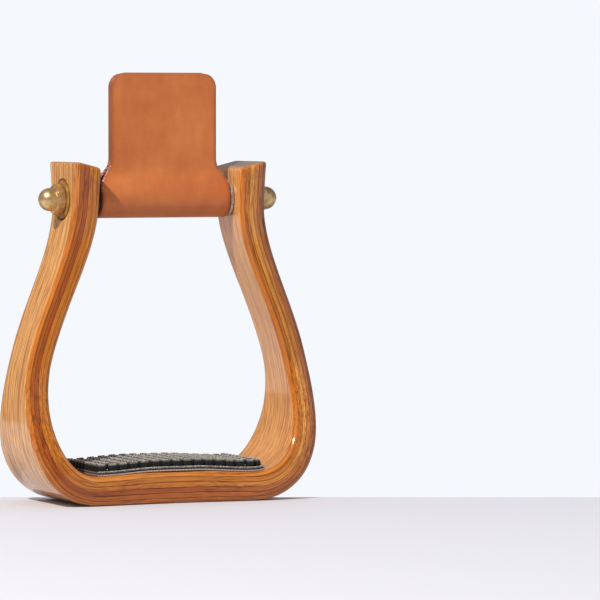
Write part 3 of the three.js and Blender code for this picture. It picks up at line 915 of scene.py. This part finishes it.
def strap_ring(path, lengths, k):
    """The ring of points round the strap at one point of its path, and their marks."""
    y, z = path[k]
    before, after = path[max(0, k - 1)], path[min(len(path) - 1, k + 1)]
    along = Vector((after[0] - before[0], after[1] - before[1])).normalized()
    normal = Vector((along.y, -along.x))
    from_end = min(lengths[k], lengths[-1] - lengths[k])
    shrink = max(0.0, END_ROUND - from_end) * END_SHRINK
    squeeze = math.sqrt(1 - (shrink / END_ROUND) ** 2)
    end_mark = END_BURNISH * max(0.0, 1 - from_end / END_FADE_IN)
    outline, marks = strap_section(strap_half_width(min(z, FLAP_TOP)) - shrink, frayed_at(z))
    points = [Vector((WRAP_OFFSET + v, y + normal.x * n * squeeze, BOLT_Z + z + normal.y * n * squeeze))
              for v, n in outline]
    return points, [(max(edge, end_mark), flesh) for edge, flesh in marks]


def build_wrap():
    """The folded strap: one closed skin with burnished round edges."""
    path = strap_path()
    lengths = [0.0]
    for a, b in zip(path, path[1:]):
        lengths.append(lengths[-1] + math.dist(a, b))
    bm = bmesh.new()
    edge_layer = bm.verts.layers.float.new("edge")
    flesh_layer = bm.verts.layers.float.new("flesh")
    rings, marks = zip(*(strap_ring(path, lengths, k) for k in range(len(path))))
    rows = loft(bm, rings)
    for row, row_marks in zip(rows, marks):
        for vert, (edge, flesh) in zip(row, row_marks):
            vert[edge_layer] = edge
            vert[flesh_layer] = flesh
    for row in (rows[0], rows[-1]):
        bm.faces.new(row)
    piece = new_piece("leather_strap", bm, "wrap", STRAP_SHARP_ANGLE)
    stand_in(piece, "leather_wrap", leather_material())


# ---------------------------------------------------------------- tread pad

TREAD_STATIONS = [station for station in STATIONS if station["z"] < BELLY[1] / 2]
PAD_REACH = 70 * MM  # from the tread's middle, past both ends of the pad
PAD_END_GAP = 0.3 * MM  # the top of the pad's base ends this far inside its ends in CAD
SHEET_STEPS = 60
COVER_EASE = 0.3 * MM
BACKING_EASE = 0.2 * MM
LIP_WIDTH = 0.7 * MM
STUD_FILL = 0.38  # half a stud's width over the pitch of the studs
STUD_CORNER = 0.42  # the radius of a stud's corners over half its width
STUD_CORNER_STEPS = 4
STUD_SHARP_ANGLE = 35
RIDGE_SPREAD = 0.8  # the ridges share out this much of a stud's width
RIDGE_FILL = 0.55  # a ridge's width over an equal share of the stud's
RIDGE_LENGTH = 0.78  # a ridge's length over the stud's
RIDGE_CREST = 0.55  # the width of its crest over that of its foot
NAIL_CLEARANCE = (3 * MM, 2.4 * MM)  # from a nail to the middle of the nearest stud, in X and Y


def above_tread(s_from_middle, rise, y):
    """A point at a distance along the tread from its middle and a rise above the wood."""
    target = SWEEP_MIDDLE + s_from_middle
    k = 0
    while k < len(TREAD_STATIONS) - 2 and TREAD_STATIONS[k + 1]["s"] < target:
        k += 1
    a, b = TREAD_STATIONS[k], TREAD_STATIONS[k + 1]
    share = (target - a["s"]) / (b["s"] - a["s"])
    low = bow_point(a, -a["t"] / 2 - rise, y)
    high = bow_point(b, -b["t"] / 2 - rise, y)
    return low.lerp(high, share)


def pad_end(x):
    """Distance along the tread at which the top of the pad's base is at x."""
    low, high = -PAD_REACH, PAD_REACH
    for _ in range(HALVINGS):
        middle = (low + high) / 2
        if above_tread(middle, COVER_BASE_TO, 0).x < x:
            low = middle
        else:
            high = middle
    return low


PAD_FROM = pad_end(PAD_OFFSET - PAD_HALF_LENGTH + PAD_END_GAP)
PAD_TO = pad_end(PAD_OFFSET + PAD_HALF_LENGTH - PAD_END_GAP)


def sheet_bmesh(low, high, ease, wear_and_highlight=0.0):
    """A layer of the pad with eased edges; a painted highlight, as strong as given, greys its upper edge.
    """
    bm = bmesh.new()
    layer = bm.verts.layers.float.new("wear_and_highlight")
    depth = PAD_HALF_DEPTH
    between_ends = [lerp(PAD_FROM, PAD_TO, k / SHEET_STEPS) for k in range(1, SHEET_STEPS)]
    places = [(s, 0.0) for s in [PAD_FROM + ease] + between_ends + [PAD_TO - ease]]
    rings = []
    for s, inset in [(PAD_FROM, ease)] + places + [(PAD_TO, ease)]:
        rows = [(low + inset, depth - ease), (low + ease, depth), (high - ease, depth),
                (high - inset, depth - ease), (high - inset, depth - ease - LIP_WIDTH)]
        back = [above_tread(s, rise, y) for rise, y in rows]
        front = [above_tread(s, rise, -y) for rise, y in reversed(rows)]
        rings.append(back + front)
    rows = loft(bm, rings)
    # Painted highlight: its share at each point of the ring, strongest on top just inside the upper edge.
    lip = (0, 0, 0.5, 1, 0)
    for row in rows:
        for vert, share in zip(row, lip + lip[::-1]):
            vert[layer] = wear_and_highlight * share
    for row in (rows[0], rows[-1]):
        strip_cap(bm, row, len(lip))
    return bm


def stud_outline():
    """A square with rounded corners, two units wide, as (u, v) points."""
    outline = []
    for quarter in range(4):
        diagonal = math.pi / 2 * (quarter + 0.5)
        centre_u = math.copysign(1 - STUD_CORNER, math.cos(diagonal))
        centre_v = math.copysign(1 - STUD_CORNER, math.sin(diagonal))
        for k in range(STUD_CORNER_STEPS + 1):
            angle = math.pi / 2 * (quarter + k / STUD_CORNER_STEPS)
            outline.append((centre_u + STUD_CORNER * math.cos(angle),
                            centre_v + STUD_CORNER * math.sin(angle)))
    return outline


def add_stud(bm, wear_layer, s, y, half_s, half_y):
    """One rubber stud: a rounded square with sloping sides and an eased, worn top."""
    top = STUD_TOP - RIDGE_HEIGHT
    # Each level's rise, its share of the full width, and its wear.
    levels = [(COVER_BASE_TO - 0.3 * MM, 1.0, 0.0), (top - 0.6 * MM, 0.9, 0.02),
              (top - 0.1 * MM, 0.87, 0.35), (top, 0.8, 0.1)]
    rows = loft(bm, [[above_tread(s + u * half_s * share, rise, y + v * half_y * share)
                      for u, v in stud_outline()] for rise, share, _ in levels])
    for row, (_, _, greyed) in zip(rows, levels):
        for vert in row:
            vert[wear_layer] = greyed
    fan(bm, rows[-1], above_tread(s, top, y))[wear_layer] = levels[-1][2]
    bm.faces.new(rows[0])
    for ridge in range(RIDGE_COUNT):
        across = (2 * (ridge + 0.5) / RIDGE_COUNT - 1) * RIDGE_SPREAD
        add_ridge(bm, wear_layer, s + across * half_s, y,
                  RIDGE_FILL * half_s / RIDGE_COUNT, RIDGE_LENGTH * half_y)


def add_ridge(bm, wear_layer, s, y, half_s, half_y):
    """One grip ridge across the top of a stud, pale with wear along its crest."""
    rings = []
    for rise, share in ((STUD_TOP - RIDGE_HEIGHT - 0.1 * MM, 1.0), (STUD_TOP, RIDGE_CREST)):
        rings.append([above_tread(s + u * half_s * share, rise, y + v * (half_y - (1 - share) * half_s))
                      for u, v in ((-1, -1), (1, -1), (1, 1), (-1, 1))])
    low, high = loft(bm, rings)
    for vert in low:
        vert[wear_layer] = 0.1
    for vert in high:
        vert[wear_layer] = 1.0
    bm.faces.new(low)
    bm.faces.new(high)


def near_nail(s, y):
    x = above_tread(s, 0, 0).x - PAD_OFFSET
    return (abs(abs(x) - NAIL_X) < NAIL_CLEARANCE[0]
            and abs(abs(y) - NAIL_Y) < NAIL_CLEARANCE[1])


def studs_bmesh():
    """The studs in rows and columns, except where a nail goes through the pad."""
    bm = bmesh.new()
    wear_layer = bm.verts.layers.float.new("wear_and_highlight")
    pitch_s = (PAD_TO - PAD_FROM) / STUD_COLUMNS
    pitch_y = 2 * PAD_HALF_DEPTH / STUD_ROWS
    for column in range(STUD_COLUMNS):
        s = PAD_FROM + pitch_s * (column + 0.5)
        for row in range(STUD_ROWS):
            y = -PAD_HALF_DEPTH + pitch_y * (row + 0.5)
            if not near_nail(s, y):
                add_stud(bm, wear_layer, s, y, pitch_s * STUD_FILL, pitch_y * STUD_FILL)
    return bm


def build_pad():
    rubber = rubber_material()
    # The base gets the full painted highlight along its upper edges; the backing gets none.
    base = new_piece("pad_base", sheet_bmesh(COVER_FROM, COVER_BASE_TO, COVER_EASE, wear_and_highlight=1.0), "bow")
    stand_in(base, "tread_cover", rubber)
    stand_in(new_piece("pad_studs", studs_bmesh(), "bow", STUD_SHARP_ANGLE), "tread_cover", rubber)
    backing = new_piece("pad_backing", sheet_bmesh(BACKING_FROM, BACKING_TO, BACKING_EASE), "bow")
    stand_in(backing, "tread_backing", canvas_material())


# ---------------------------------------------------------------- stage, lights and camera

CAMERA_PLACE = (-0.932, -2.268, 0.2044)
CAMERA_YAW = 24.09
CAMERA_PITCH = -2.30
CAMERA_LENS = 277.9  # in millimetres, as is the sensor's width
CAMERA_SENSOR = 36
CAMERA_AHEAD = (math.sin(math.radians(CAMERA_YAW)), math.cos(math.radians(CAMERA_YAW)), 0)
TABLE_NEAR = 1.6  # ahead of the camera
TABLE_FAR = 2.466
TABLE_HALF_WIDTH = 6
LIT_SPOT = Vector((0, 0, 0.12))  # the lamps face the middle of the stirrup


def build_camera():
    data = bpy.data.cameras.new("camera")
    data.lens = CAMERA_LENS
    data.sensor_width = CAMERA_SENSOR
    data.clip_start = 0.05
    data.clip_end = 60
    camera = bpy.data.objects.new("camera", data)
    camera.location = CAMERA_PLACE
    camera.rotation_euler = (math.radians(90 + CAMERA_PITCH), 0, math.radians(-CAMERA_YAW))
    bpy.context.scene.collection.objects.link(camera)
    bpy.context.scene.camera = camera


def build_world():
    """White as the camera sees it. As a light it is dimmer, most of all in front of the stirrup.
    In reflections it is dark above the horizon and bright below, as if the table went on, and
    dimmer again further down."""
    world = bpy.data.worlds.new("soft_white")
    world.use_nodes = True
    n = Nodes(world, "Background")
    n.set(Color=(*srgb(245, 248, 253), 1))
    direction = n.add("ShaderNodeTexCoord").outputs["Generated"]
    behind = n.add("ShaderNodeVectorMath", operation="DOT_PRODUCT")
    n.link(direction, behind.inputs[0])
    behind.inputs[1].default_value = CAMERA_AHEAD
    lighting = n.map_range(behind.outputs["Value"], (-1, 1), (0.4, 0.9))
    height = n.split(direction)[2]
    horizon = n.map_range(height, (-0.115, -0.095), (0.85, 0.24))
    depth = n.map_range(height, (-0.42, -0.26), (0.3, 0.85))
    path = n.add("ShaderNodeLightPath").outputs
    lit = n.mix_numbers(path["Is Glossy Ray"], lighting, n.math("MINIMUM", depth, horizon))
    n.out("Strength", n.mix_numbers(path["Is Camera Ray"], lit, 1.0))
    bpy.context.scene.world = world


def area_light(name, place, size, power, colour):
    data = bpy.data.lights.new(name, "AREA")
    data.size = size
    data.energy = power
    data.color = colour
    light = bpy.data.objects.new(name, data)
    light.location = place
    light.rotation_euler = (LIT_SPOT - Vector(place)).to_track_quat("-Z", "Y").to_euler()
    bpy.context.scene.collection.objects.link(light)


def build_lights():
    build_world()
    area_light("key", (-1.83, -1.1, 2.22), size=0.07, power=92, colour=(1.0, 0.97, 0.92))
    area_light("fill", (1.6, -2.0, 0.9), size=1.6, power=4, colour=(1.0, 1.0, 1.0))
    bpy.context.scene.view_settings.view_transform = "Standard"


def build_stage():
    """A pale table top whose far edge is just behind the stirrup."""
    n = material_nodes("table_pale")
    n.set(Base_Color=(*srgb(209, 208, 215), 1), Roughness=0.8)
    ahead = Vector(CAMERA_AHEAD)
    side = Vector((ahead.y, -ahead.x, 0)) * TABLE_HALF_WIDTH
    below_camera = Vector((*CAMERA_PLACE[:2], 0))
    near = below_camera + ahead * TABLE_NEAR
    far = below_camera + ahead * TABLE_FAR
    mesh = bpy.data.meshes.new("table_top")
    mesh.from_pydata([near - side, near + side, far + side, far - side], [], [(0, 1, 2, 3)])
    mesh.materials.append(n.owner)
    table = bpy.data.objects.new("table_top", mesh)
    bpy.context.scene.collection.objects.link(table)


build_camera()
build_lights()
build_stage()
build_bow()
build_hardware()
build_wrap()
build_pad()
